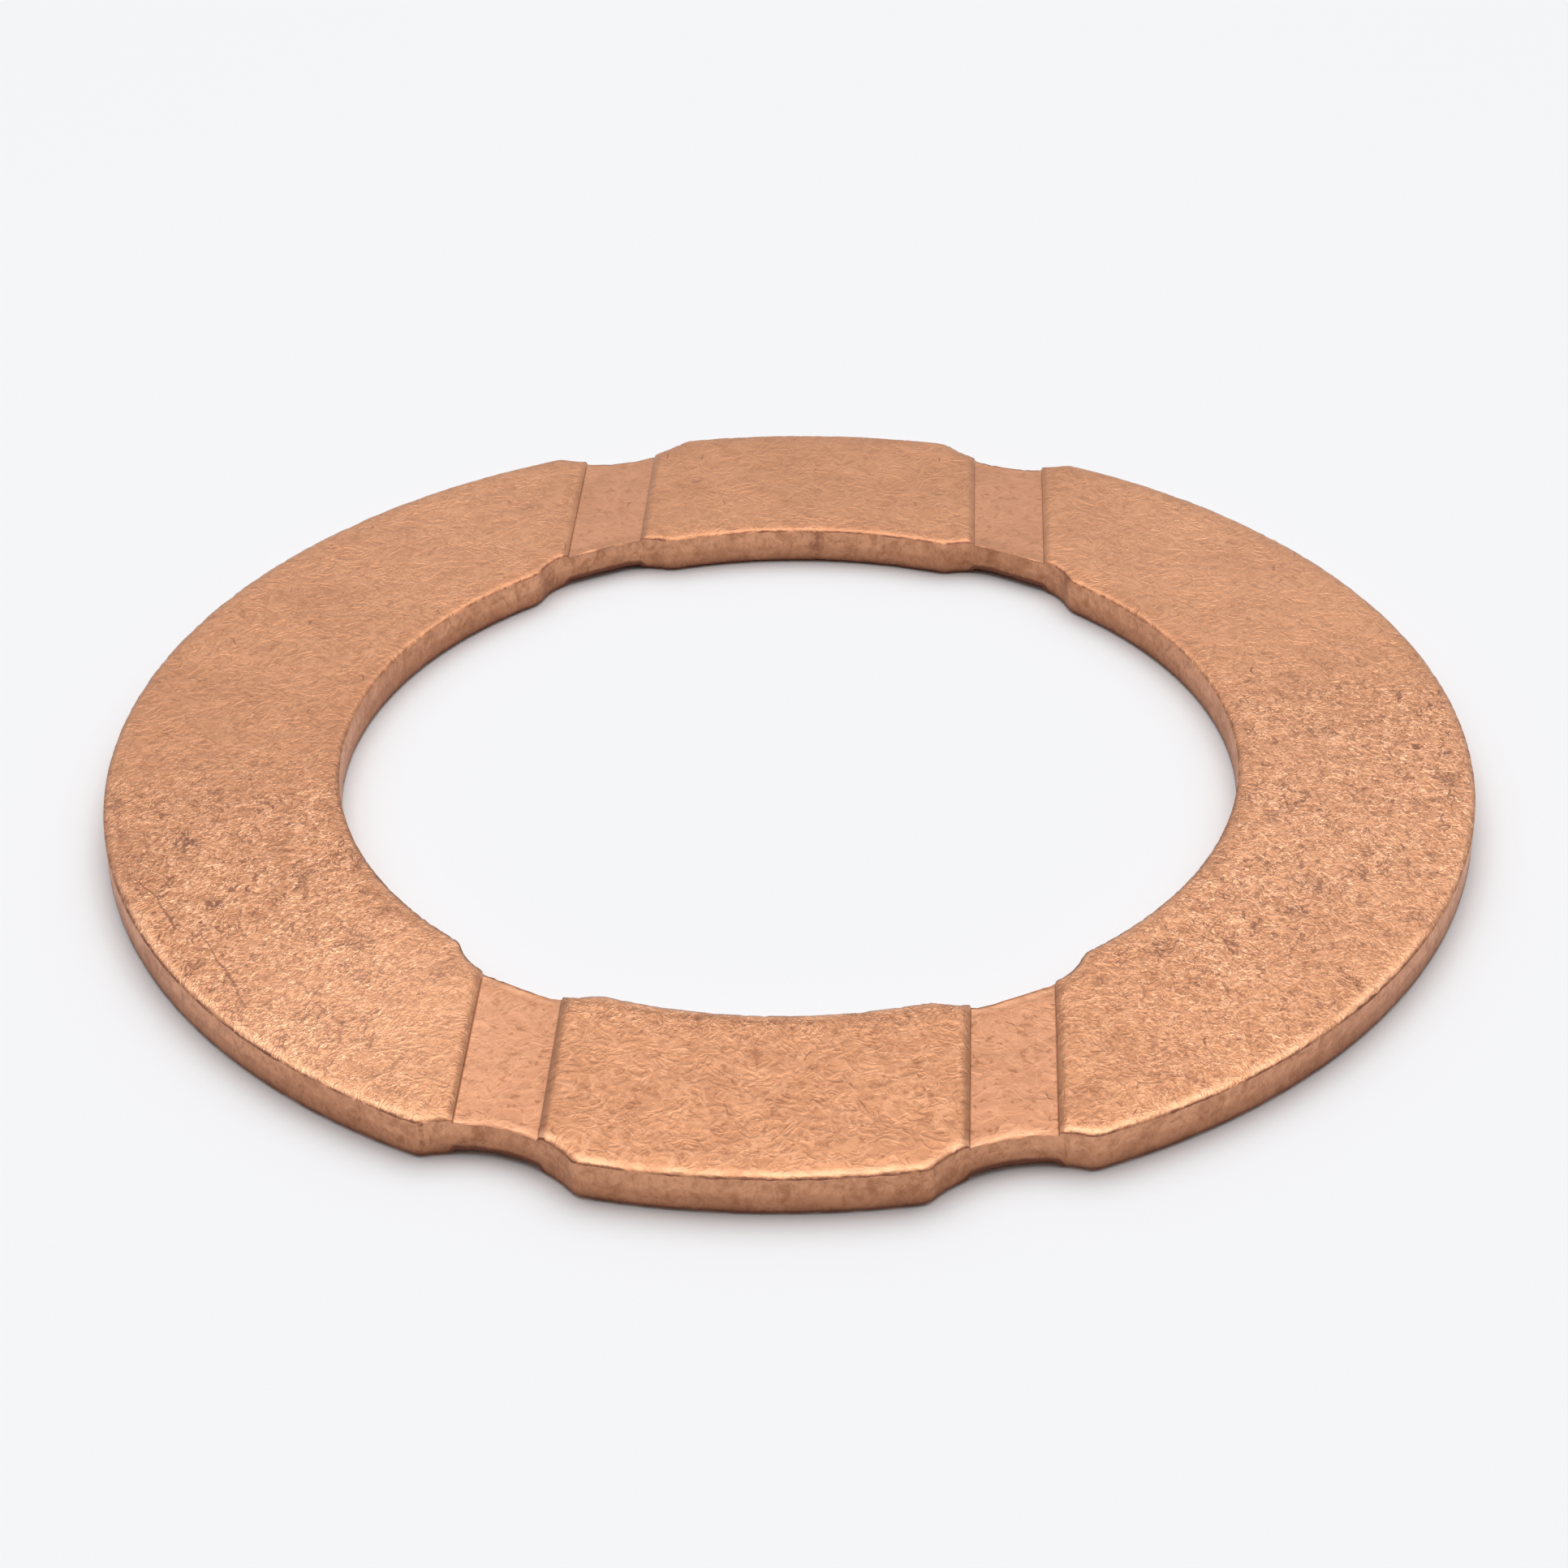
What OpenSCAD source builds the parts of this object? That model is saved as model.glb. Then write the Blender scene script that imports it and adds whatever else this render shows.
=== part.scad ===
// Wear ring: a flat stamped ring of copper alloy, with two straight coined channels across each face and a
// shallow notch in the rim and in the bore wall at each end of every channel.
// The axis of the ring is Z, its lower face lies on Z = 0 and the channels run along Y.
// All sizes are in millimetres and all angles in degrees.

/* [Ring] */
// Outer diameter of the ring
outer_d = 100; // [96:0.5:120]
// Diameter of the bore
bore_d = 66; // [60:0.5:70]
// Thickness between the two flat faces
thickness = 3; // [2:0.1:6]
// Radius of the rolled edge, where each face curves down to a wall
roll_r = 1; // [0.8:0.05:1.2]
// How far the rolled edge drops below the face before it meets the wall
roll_drop = 0.15; // [0.1:0.01:0.25]

/* [Channels] */
// Distance from the axis of the ring to the centreline of each channel
channel_offset = 16.4; // [15:0.1:18]
// Width of the channel between its two walls
channel_w = 5.7; // [4:0.1:7]
// Depth of the channel below the face
channel_depth = 0.45; // [0.4:0.05:0.8]
// Radius of the shoulder, where the face rolls over into the channel
shoulder_r = 1.2; // [0.8:0.05:1.5]
// How far the shoulder drops before it meets the channel wall
shoulder_drop = 0.22; // [0.1:0.01:0.25]
// Radius in the corner between the channel wall and its floor
root_r = 0.12; // [0.05:0.01:0.14]

/* [Rim notches] */
// Depth of the notch in the rim, at its middle
rim_notch_depth = 2.1; // [1.5:0.1:2.8]
// Radius of the concave floor of the rim notch
rim_notch_r = 9.2; // [7:0.1:11]
// Radius of the rounded nose on each side of the rim notch
rim_nose_r = 1.3; // [0.6:0.1:1.8]

/* [Bore notches] */
// Depth of the notch in the bore wall, at its middle
bore_notch_depth = 1.35; // [1:0.05:1.8]
// Radius of the two concave corners of the bore notch
bore_notch_r = 5; // [4:0.1:6]
// Distance between the centres of those two corners
bore_notch_spread = 3.8; // [3:0.1:5]
// Radius of the rounded nose on each side of the bore notch
bore_nose_r = 2.2; // [0.6:0.1:2.4]

/* [Hidden] */
$fn = 96;
// Angle at which a rolled edge or a shoulder leaves the face
face_angle = 8;
// How far a cut runs past the surface that it opens
past = 2;
// How much deeper the bore notch's corners are than its floor
corner_bite = 0.04;
outer_r = outer_d / 2;
bore_r = bore_d / 2;
// Where a channel's centreline crosses the rim and the bore wall, as an angle from the Y axis
rim_angle = asin(channel_offset / outer_r);
bore_angle = asin(channel_offset / bore_r);
// Distance from the axis of the ring to the centre of curvature of each notch
rim_notch_c = outer_r - rim_notch_depth + rim_notch_r;
bore_floor_r = bore_r + bore_notch_depth;
bore_notch_c = bore_floor_r + corner_bite - bore_notch_r;
// Half the angle between the bore notch's corners, and the angle over which a corner is deeper than the floor
bore_corner_angle = asin(bore_notch_spread / 2 / bore_notch_c);
bore_bite_angle = angle_between(bore_notch_c, bore_floor_r, bore_notch_r);

// Angle between sides a and b of a triangle whose third side is c
function angle_between(a, b, c) = acos((a * a + b * b - c * c) / (2 * a * b));

// Point at distance r from the origin, on a line turned by angle a from the Y axis towards X
function polar(r, a) = [r * sin(a), r * cos(a)];

// What a rolled edge takes from the corner between a face at y = 0 and a wall at x = 0, with the solid on
// the side of x > 0. The edge is an arc of radius r, which leaves the face at face_angle and meets the
// wall at a distance drop below the face
module roll_cut(r, drop) {
    wall_angle = acos(cos(face_angle) - drop / r);
    difference() {
        translate([-past, -drop]) square([past + r * (sin(wall_angle) - sin(face_angle)), drop + past]);
        translate([r * sin(wall_angle), -r * cos(face_angle)]) circle(r = r);
    }
}

// The rolled edges of both faces, on a wall at x = 0 with the solid on the side of x > 0
module roll_cuts() {
    translate([0, thickness]) roll_cut(roll_r, roll_drop);
    mirror([0, 1]) roll_cut(roll_r, roll_drop);
}

// Section of a cut right through the ring, from x = inner to a wall at x = outer that ends in rolled edges
module through_section(inner, outer) {
    translate([inner, -past]) square([outer - inner, thickness + 2 * past]);
    intersection() {
        translate([outer, 0]) roll_cuts();
        translate([inner, -past]) square([outer - inner + past, thickness + 2 * past]);
    }
}

// Rounds the corner between two walls to a nose of radius r about a centre. The outline runs from that
// centre, along each wall's normal, to the points beyond the walls
module nose_cut(r, centre, outline) {
    difference() {
        translate([0, 0, -past]) linear_extrude(thickness + 2 * past) polygon(concat([centre], outline));
        translate([centre.x, centre.y, -2 * past]) cylinder(r = r, h = thickness + 4 * past);
    }
}

// The ring before it gets its channels and notches
module blank() {
    rotate_extrude() difference() {
        translate([bore_r, 0]) square([outer_r - bore_r, thickness]);
        translate([bore_r, 0]) roll_cuts();
        translate([outer_r, 0]) mirror([1, 0]) roll_cuts();
    }
}

// Section of a channel in a face at y = 0, with its centreline at x = 0
module channel_section() {
    difference() {
        translate([-channel_w / 2, -channel_depth]) square([channel_w, channel_depth + past]);
        for (side = [0, 1]) mirror([side, 0]) translate([channel_w / 2 - root_r, -channel_depth])
            difference() {
                square(root_r);
                translate([0, root_r]) circle(r = root_r);
            }
    }
    for (side = [0, 1]) mirror([side, 0])
        translate([channel_w / 2, 0]) roll_cut(shoulder_r, shoulder_drop);
}

// The two channels across the top face
module channels() {
    for (side = [-1, 1]) translate([side * channel_offset, outer_r + past, thickness]) rotate([90, 0, 0])
        linear_extrude(outer_d + 2 * past) channel_section();
}

// A notch in the rim, at +Y
module rim_notch() {
    notch = polar(rim_notch_c, 0);
    nose_c = outer_r - rim_nose_r;
    nose_angle = angle_between(nose_c, rim_notch_c, rim_notch_r + rim_nose_r);
    nose = polar(nose_c, nose_angle);
    translate(notch) rotate_extrude() through_section(0, rim_notch_r);
    for (side = [0, 1]) mirror([side, 0]) nose_cut(rim_nose_r, nose,
        [polar(outer_r + past, nose_angle), polar(outer_r + past, nose_angle / 2), (notch + nose) / 2]);
}

// A notch in the bore wall, at +Y
module bore_notch() {
    corner = polar(bore_notch_c, bore_corner_angle);
    nose_c = bore_r + bore_nose_r;
    nose_angle = bore_corner_angle + angle_between(nose_c, bore_notch_c, bore_notch_r + bore_nose_r);
    nose = polar(nose_c, nose_angle);
    floor_half = bore_corner_angle + bore_bite_angle / 2;
    rotate([0, 0, 90 - floor_half]) rotate_extrude(angle = 2 * floor_half)
        through_section(bore_notch_c, bore_floor_r);
    for (side = [0, 1]) mirror([side, 0]) {
        translate(corner) rotate_extrude() through_section(0, bore_notch_r);
        nose_cut(bore_nose_r, nose, [polar(bore_r - past, nose_angle), corner, (corner + nose) / 2]);
    }
}

// Places its child at all four crossings of the channels, from the one at an angle from +Y
module at_crossings(angle) {
    for (side = [0, 1], end = [0, 1]) mirror([side, 0, 0]) mirror([0, end, 0])
        rotate([0, 0, -angle]) children();
}

// The whole ring: the channels are pressed first, and the notches are cut through what is left
module wear_ring() {
    color("#C98A5E") difference() {
        difference() {
            difference() {
                blank();
                channels();
                translate([0, 0, thickness]) mirror([0, 0, 1]) channels();
            }
            at_crossings(rim_angle) rim_notch();
        }
        at_crossings(bore_angle) bore_notch();
    }
}

wear_ring();
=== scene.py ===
"""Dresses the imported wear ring: its coined copper skin, its worn edges and a pale studio."""

import math
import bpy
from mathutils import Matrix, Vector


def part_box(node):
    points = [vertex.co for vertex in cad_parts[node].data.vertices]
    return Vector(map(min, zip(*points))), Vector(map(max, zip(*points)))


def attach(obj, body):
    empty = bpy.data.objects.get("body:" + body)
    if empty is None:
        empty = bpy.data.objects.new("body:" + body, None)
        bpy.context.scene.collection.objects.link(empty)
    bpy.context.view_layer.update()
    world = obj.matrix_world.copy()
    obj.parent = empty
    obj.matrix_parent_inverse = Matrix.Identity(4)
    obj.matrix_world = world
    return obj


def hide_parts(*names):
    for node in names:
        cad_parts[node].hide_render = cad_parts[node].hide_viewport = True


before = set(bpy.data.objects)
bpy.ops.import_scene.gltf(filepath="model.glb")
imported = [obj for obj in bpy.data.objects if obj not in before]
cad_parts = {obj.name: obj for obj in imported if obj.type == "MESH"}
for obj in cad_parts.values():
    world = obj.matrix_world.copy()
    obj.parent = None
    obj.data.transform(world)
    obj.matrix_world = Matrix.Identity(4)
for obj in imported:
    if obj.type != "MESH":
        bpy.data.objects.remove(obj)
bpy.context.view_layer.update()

from types import SimpleNamespace

import bpy
import numpy as np
from bpy.props import FloatProperty, FloatVectorProperty, IntProperty, PointerProperty
from mathutils import Matrix, Vector, kdtree

bl_info = {
    "name": "Wear ring",
    "version": (1, 0, 0),
    "blender": (4, 5, 0),
    "location": "3D View > Sidebar > Wear ring",
    "description": "Builds a coined copper-alloy wear ring and a pale studio around it",
    "category": "Add Mesh",
}

MM = 0.001
CAD_NODE = "wear_ring"
BODY = "root"
LOW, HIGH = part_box(CAD_NODE)


def length(name, default, description, lowest=0.0):
    """A size that a user may change, in metres."""
    limits = {"min": lowest, "precision": 5, "unit": "LENGTH"}
    return FloatProperty(name=name, description=description, default=default, **limits)


def colour(name, default, description):
    """A colour that a user may change."""
    return FloatVectorProperty(
        name=name,
        description=description,
        default=default,
        size=3,
        min=0.0,
        max=1.0,
        subtype="COLOR",
    )


def angle(name, degrees, description):
    """An angle that a user may change, in radians."""
    return FloatProperty(
        name=name, description=description, default=math.radians(degrees), subtype="ANGLE"
    )


class RingSizes(bpy.types.PropertyGroup):
    """Sizes of the ring, the same as in the solid."""

    outer_diameter: length("Outer diameter", HIGH.x - LOW.x, "Diameter of the rim")
    bore_diameter: length("Bore", 66 * MM, "Diameter of the bore")
    thickness: length("Thickness", HIGH.z - LOW.z, "Distance between the two flat faces")
    roll_radius: length("Roll radius", 1 * MM, "Radius of the rolled edge of each face")
    roll_drop: length("Roll drop", 0.15 * MM, "How far the rolled edge drops to the wall")
    face_angle: angle("Roll start", 8, "Angle at which a rolled edge leaves the face")
    channel_offset: length("Channel offset", 16.4 * MM, "From the axis to a channel's middle")
    channel_width: length("Channel width", 5.7 * MM, "Between the walls of a channel")
    channel_depth: length("Channel depth", 0.45 * MM, "Depth of a channel below the face")
    shoulder_radius: length("Shoulder radius", 1.2 * MM, "Radius of a channel's shoulders")
    shoulder_drop: length("Shoulder drop", 0.22 * MM, "How far a shoulder drops to its wall")
    root_radius: length("Root radius", 0.12 * MM, "Radius between channel wall and floor")
    rim_notch_depth: length("Rim notch depth", 2.1 * MM, "Depth of a notch in the rim")
    rim_notch_radius: length("Rim notch radius", 9.2 * MM, "Radius of a rim notch's floor")
    rim_nose_radius: length("Rim nose radius", 1.3 * MM, "Radius of a rim notch's noses")
    bore_notch_depth: length("Bore notch depth", 1.35 * MM, "Depth of a notch in the bore")
    bore_notch_radius: length("Bore notch radius", 5 * MM, "Radius of its two corners")
    bore_notch_spread: length("Bore notch spread", 3.8 * MM, "Between its two corners")
    bore_nose_radius: length("Bore nose radius", 2.2 * MM, "Radius of a bore notch's noses")
    corner_bite: length("Corner bite", 0.04 * MM, "How much deeper those corners are cut")


class WearSettings(bpy.types.PropertyGroup):
    """How uneven the coined faces and the edges have become."""

    ripple_depth: length("Ripple depth", 0.02 * MM, "Depth of the slow ripples in a face")
    ripple_size: length("Ripple size", 3.2 * MM, "Distance between those ripples")
    edge_sag: length("Edge sag", 0.05 * MM, "How far a face sinks beside its edges")
    nick_depth: length("Nick depth", 0.09 * MM, "Depth of the nicks along an edge")
    nick_spacing: length("Nick spacing", 0.9 * MM, "Distance between those nicks")
    seed: IntProperty(name="Seed", description="Chooses another pattern of wear", default=3)


class FinishColours(bpy.types.PropertyGroup):
    """Colours of the copper alloy and of the stage."""

    face: colour("Face", (0.605, 0.287, 0.148), "Coined faces, where they are clean")
    channel: colour("Channel", (0.62, 0.295, 0.163), "Smooth floors of the channels")
    wall: colour("Wall", (0.70, 0.36, 0.212), "Sheared walls of rim, bore and notches")
    # Also the painted highlights on crests, strokes, dashes and the rolled edges at the front
    crest: colour("Crest", (0.95, 0.51, 0.30), "Rubbed crests and rolled edges")
    # Also painted shade in furrows and creases, beside the channels and beside the bore
    tarnish: colour("Tarnish", (0.36, 0.15, 0.075), "Brown tarnish in patches and furrows")
    # Also painted shade where a roll meets the wall, down the front noses, at a wall's foot and
    # under the webs
    speck: colour("Specks", (0.17, 0.065, 0.045), "Dark specks, cracks and old scratches")
    floor: colour("Floor", (0.905, 0.912, 0.932), "The pale floor and backdrop")


class StageSettings(bpy.types.PropertyGroup):
    """The camera and the lamps."""

    camera_distance: length("Camera distance", 260.87 * MM, "From the camera to the axis")
    camera_azimuth: angle("Camera azimuth", 3.182, "Turned from the channels' direction")
    camera_elevation: angle("Camera elevation", 32.874, "Height of the camera as an angle")
    camera_roll: angle("Camera roll", -0.867, "Tilt of the camera about its own axis")
    aim_x: length("Aim X", -0.000324, "Where the camera looks, along X", lowest=-1.0)
    aim_y: length("Aim Y", -0.000597, "Where the camera looks, along Y", lowest=-1.0)
    lens: FloatProperty(name="Lens", description="Focal length", default=80.657, unit="CAMERA")
    sky: FloatProperty(name="Ambient", description="Strength of the ambient light", default=0.74)
    tilt: FloatProperty(name="Tilt", description="How much more comes from behind", default=1.0)
    overhead: FloatProperty(name="Overhead", description="How much comes from above", default=1.5)
    horizon: FloatProperty(name="Horizon", description="Glow low down", default=0.76)
    lamp_width: length("Softbox width", 1.0, "Side of the square softbox overhead")
    lamp_height: length("Softbox height", 0.9, "Height of the softbox over the floor")
    lamp_back: length("Softbox setback", 0.5, "How far behind the ring it hangs")
    lamp_level: FloatProperty(name="Softbox level", description="Its brightness", default=1.3)


# Plan of the ring. Angles are measured from +Y towards +X.

NEAR, FAR = -1, 1


def corner(a, b, c):
    """Angle between sides a and b of a triangle whose third side is c."""
    return math.acos((a * a + b * b - c * c) / (2 * a * b))


def circle_side(distance, turn, radius, side):
    """Distance from the axis to the near or far side of a circle, turned away from its centre."""
    half = np.sqrt(np.maximum(radius**2 - (distance * np.sin(turn)) ** 2, 0))
    return distance * np.cos(turn) + side * half


def meeting_angle(notch, notch_turn, notch_radius, nose, nose_turn, nose_radius):
    """Angle at which the arc of a notch passes into the arc of its nose."""
    share = notch_radius / (notch_radius + nose_radius)
    x = (1 - share) * notch * math.sin(notch_turn) + share * nose * math.sin(nose_turn)
    y = (1 - share) * notch * math.cos(notch_turn) + share * nose * math.cos(nose_turn)
    return math.atan2(x, y)


def from_crossing(turn, crossing):
    """Angle to the nearest of the four crossings at this angle from the Y axis."""
    quarter = np.arctan2(np.abs(np.sin(turn)), np.abs(np.cos(turn)))
    return np.abs(quarter - crossing)


def rim_radius(turn, s):
    """Distance from the axis to the rim, with its noses and notches."""
    rim = s.outer_diameter / 2
    notch = rim - s.rim_notch_depth + s.rim_notch_radius
    nose = rim - s.rim_nose_radius
    nose_turn = corner(nose, notch, s.rim_notch_radius + s.rim_nose_radius)
    meeting = meeting_angle(notch, 0, s.rim_notch_radius, nose, nose_turn, s.rim_nose_radius)
    away = from_crossing(turn, math.asin(s.channel_offset / rim))
    rounded = circle_side(nose, away - nose_turn, s.rim_nose_radius, FAR)
    radius = np.where(away < nose_turn, rounded, rim)
    return np.where(away < meeting, circle_side(notch, away, s.rim_notch_radius, NEAR), radius)


def bore_radius(turn, s):
    """Distance from the axis to the bore wall, with its noses and notches."""
    bore = s.bore_diameter / 2
    floor = bore + s.bore_notch_depth
    notch = floor + s.corner_bite - s.bore_notch_radius
    notch_turn = math.asin(s.bore_notch_spread / 2 / notch)
    nose = bore + s.bore_nose_radius
    reach = s.bore_notch_radius + s.bore_nose_radius
    nose_turn = notch_turn + corner(nose, notch, reach)
    meeting = meeting_angle(
        notch, notch_turn, s.bore_notch_radius, nose, nose_turn, s.bore_nose_radius
    )
    floor_turn = notch_turn + corner(notch, floor, s.bore_notch_radius) / 2
    away = from_crossing(turn, math.asin(s.channel_offset / bore))
    rounded = circle_side(nose, away - nose_turn, s.bore_nose_radius, NEAR)
    radius = np.where(away < nose_turn, rounded, bore)
    cut = circle_side(notch, away - notch_turn, s.bore_notch_radius, FAR)
    cut = np.where(away < floor_turn, np.maximum(cut, floor), cut)
    return np.where(away < meeting, cut, radius)


def plan_points(radius, turn):
    """Points in the plan at a distance from the axis and an angle."""
    return np.stack([radius * np.sin(turn), radius * np.cos(turn)], axis=-1)


def roll_widths(radius, drop, face_angle, count):
    """Distances from the wall of evenly turned points on a rolled edge."""
    wall_angle = math.acos(math.cos(face_angle) - drop / radius)
    return radius * (math.sin(wall_angle) - np.sin(np.linspace(wall_angle, face_angle, count)))


# The blank: a flat ring whose mesh already runs along every edge that the coining makes.

ROLL_COLUMNS = 6
ROOT_COLUMNS = 5
ROLL_ROWS = 7
# One more row runs this far inside the outline
PAST_ROLL = 0.85 * MM
TOP_ROWS = 34
BOTTOM_ROWS = 10
LOBE_COLUMNS = 250
COARSE_STEP = 0.34 * MM
FINE_STEP = 0.11 * MM
SECTION_HALF = 23 * MM
# The straight section meets the rim and the bore within this angle of the Y axis
SECTION_TURN = 1.0
# Where the noses of the notches lie, on each side of a channel
NOSE_SPANS = ((9.9 * MM, 11.9 * MM), (20.7 * MM, SECTION_HALF))
# How far a channel's wall leans between its top and its foot
WALL_DRAFT = 0.02 * MM
# A level past this is on a face, and the others are on a wall
FACE_LEVEL = 0.999
# Depths of a wall's rows below its edge, which come again from the edge below
WALL_DEPTHS = np.array([0.05, 0.12, 0.22, 0.36, 0.6, 0.9, 1.2]) * MM
OUTLINE_SAMPLES = 40000
SPACING_PASSES = 4


def steps(start, end, step):
    """Even values from start up to end, with end left out."""
    return list(np.linspace(start, end, max(1, math.ceil((end - start) / step)), endpoint=False))


def section_columns(s):
    """Where the columns of a straight section cross the X axis, each with its distance from the
    nearest channel wall: above 0 on the land, and 0 or less in the channel."""
    half = s.channel_width / 2
    shoulder = roll_widths(s.shoulder_radius, s.shoulder_drop, s.face_angle, ROLL_COLUMNS)
    root = s.root_radius * (1 - np.cos(np.linspace(0, math.pi / 2, ROOT_COLUMNS)))
    left, right = s.channel_offset - half, s.channel_offset + half
    (near_start, near_end), (far_start, far_end) = NOSE_SPANS
    land = steps(0, near_start, COARSE_STEP) + steps(near_start, near_end, FINE_STEP)
    land += steps(near_end, left - shoulder[-1], COARSE_STEP)
    columns = [(x, left - x) for x in land]
    columns += [(left - q, q) for q in shoulder[::-1]]
    floor = list(root) + steps(s.root_radius, half - WALL_DRAFT, COARSE_STEP)[1:]
    columns += [(left + WALL_DRAFT + q, -q) for q in floor]
    columns += [(s.channel_offset, -half)]
    columns += [(right - WALL_DRAFT - q, -q) for q in floor[::-1]]
    columns += [(right + q, q) for q in shoulder]
    land = steps(right + shoulder[-1], far_start, COARSE_STEP)[1:]
    land += steps(far_start, far_end, FINE_STEP) + [far_end]
    columns += [(x, x - right) for x in land]
    mirrored = [(-x, q) for x, q in columns[:0:-1]]
    return np.array(mirrored + columns)


def straight_ends(x, radius_rule, s):
    """Points of the rim or the bore at these distances from the Y axis, on the side of +Y."""
    turn = np.linspace(-SECTION_TURN, SECTION_TURN, OUTLINE_SAMPLES)
    outline = plan_points(radius_rule(turn, s), turn)
    order = np.argsort(outline[:, 0])
    return np.stack([x, np.interp(x, outline[order, 0], outline[order, 1])], axis=-1)


def blank_columns(s):
    """Ends of every column at the rim and at the bore, with each column's channel distance."""
    section = section_columns(s)
    x = section[:, 0]
    rim = straight_ends(x, rim_radius, s)
    bore = straight_ends(x, bore_radius, s)
    start_rim = math.atan2(rim[-1, 0], rim[-1, 1])
    start_bore = math.atan2(bore[-1, 0], bore[-1, 1])
    share = np.linspace(0, 1, LOBE_COLUMNS + 2)[1:-1]
    rim_turn = start_rim + share * (math.pi - 2 * start_rim)
    bore_turn = start_bore + share * (math.pi - 2 * start_bore)
    rim_lobe = plan_points(rim_radius(rim_turn, s), rim_turn)
    bore_lobe = plan_points(bore_radius(bore_turn, s), bore_turn)
    right = s.channel_offset + s.channel_width / 2
    lobe_gap = np.minimum(rim_lobe[:, 0], bore_lobe[:, 0]) - right
    rims = np.concatenate([rim, rim_lobe, -rim, -rim_lobe])
    bores = np.concatenate([bore, bore_lobe, -bore, -bore_lobe])
    gaps = np.concatenate([section[:, 1], lobe_gap, section[::-1][:, 1], lobe_gap])
    return rims, bores, gaps


def outline_finder(s):
    """A search tree over the rim and the bore."""
    turn = np.linspace(0, 2 * math.pi, OUTLINE_SAMPLES, endpoint=False)
    rules = (rim_radius, bore_radius)
    outline = np.concatenate([plan_points(rule(turn, s), turn) for rule in rules])
    finder = kdtree.KDTree(len(outline))
    for index, (x, y) in enumerate(outline.tolist()):
        finder.insert((x, y, 0), index)
    finder.balance()
    return finder


def outline_gaps(points, finder):
    """Distance of each point from the nearest rim or bore wall."""
    flat = points.reshape(-1, 2).tolist()
    return np.array([finder.find((x, y, 0))[2] for x, y in flat]).reshape(points.shape[:-1])


def roll_rows(ends, inward, targets, finder):
    """How far along each column a point lies at each target distance from the outline."""
    along = np.tile(targets, (len(ends), 1))
    for _ in range(SPACING_PASSES):
        points = ends[:, None] + inward[:, None] * along[:, 1:, None]
        along[:, 1:] *= targets[1:] / outline_gaps(points, finder)
    return along


def blank_mesh(s):
    """The flat blank. It stores on each point its distance from the outline, from the nearest
    channel wall, whether it lies in a channel, and its level from -1, below, to 1, above."""
    rims, bores, channel_gap = blank_columns(s)
    finder = outline_finder(s)
    span = np.linalg.norm(bores - rims, axis=1)
    inward = (bores - rims) / span[:, None]
    targets = roll_widths(s.roll_radius, s.roll_drop, s.face_angle, ROLL_ROWS)
    targets = np.append(targets, PAST_ROLL)
    from_rim = roll_rows(rims, inward, targets, finder)
    from_bore = span[:, None] - roll_rows(bores, -inward, targets, finder)
    rows, levels, depths = [], [], []
    for level, count in ((1, TOP_ROWS), (-1, BOTTOM_ROWS)):
        share = np.linspace(0, 1, count + 2)[1:-1]
        middle = from_rim[:, -1:] + share * (from_bore[:, -1:] - from_rim[:, -1:])
        face = np.concatenate([from_rim, middle, from_bore[:, ::-1]], axis=1)
        wall_height = s.thickness - 2 * s.roll_drop
        down = np.concatenate([WALL_DEPTHS, wall_height - WALL_DEPTHS[-2::-1]])
        if level < 0:
            face = face[:, ::-1]
        wall = np.repeat(face[:, -1:], len(down), axis=1)
        rows += [face, wall]
        levels += [np.full(face.shape[1], float(level)), level * (1 - 2 * down / wall_height)]
        depths += [np.zeros(face.shape[1]), np.minimum(down, wall_height - down)]
    along = np.concatenate(rows, axis=1)
    level = np.concatenate(levels)
    depth = np.concatenate(depths)
    plan = rims[:, None] + inward[:, None] * along[..., None]
    edge_gap = np.where(np.abs(level) > FACE_LEVEL, outline_gaps(plan, finder), -depth)
    height = np.broadcast_to(s.thickness / 2 * (1 + level), along.shape)
    points = np.concatenate([plan, height[..., None]], axis=-1)
    columns, ring_rows = along.shape
    index = np.arange(columns * ring_rows).reshape(columns, ring_rows)
    after = np.roll(index, -1, axis=0)
    corners = [index, np.roll(index, -1, axis=1), np.roll(after, -1, axis=1), after]
    quads = np.stack(corners, axis=-1)
    mesh = bpy.data.meshes.new("ring_blank")
    mesh.from_pydata(points.reshape(-1, 3).tolist(), [], quads.reshape(-1, 4).tolist())
    pressed = channel_foot(channel_gap)
    for name, values in (
        ("edge_gap", edge_gap),
        ("channel_gap", np.broadcast_to(channel_gap[:, None], along.shape)),
        ("pressed", np.broadcast_to(pressed[:, None], along.shape)),
        ("level", np.broadcast_to(level, along.shape)),
    ):
        layer = mesh.attributes.new(name, "FLOAT", "POINT")
        layer.data.foreach_set("value", np.ascontiguousarray(values, np.float32).ravel())
    mesh.update()
    return mesh


def channel_foot(gap):
    """1 for columns in a channel and 0 for the rest. Two neighbours share each wall: the one
    beside the land is its top, and the one beside the floor is its foot."""
    before, after = np.roll(gap, 1), np.roll(gap, -1)
    inside = (gap < 0) | ((gap == 0) & ((before < 0) | (after < 0)))
    return inside.astype(float)


# Node trees

NODES_ACROSS = 12
NODE_STEP = (180, 220)
# Keeps only the part of a vector that lies in the plan
FLAT = (1.0, 1.0, 0.0)


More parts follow.
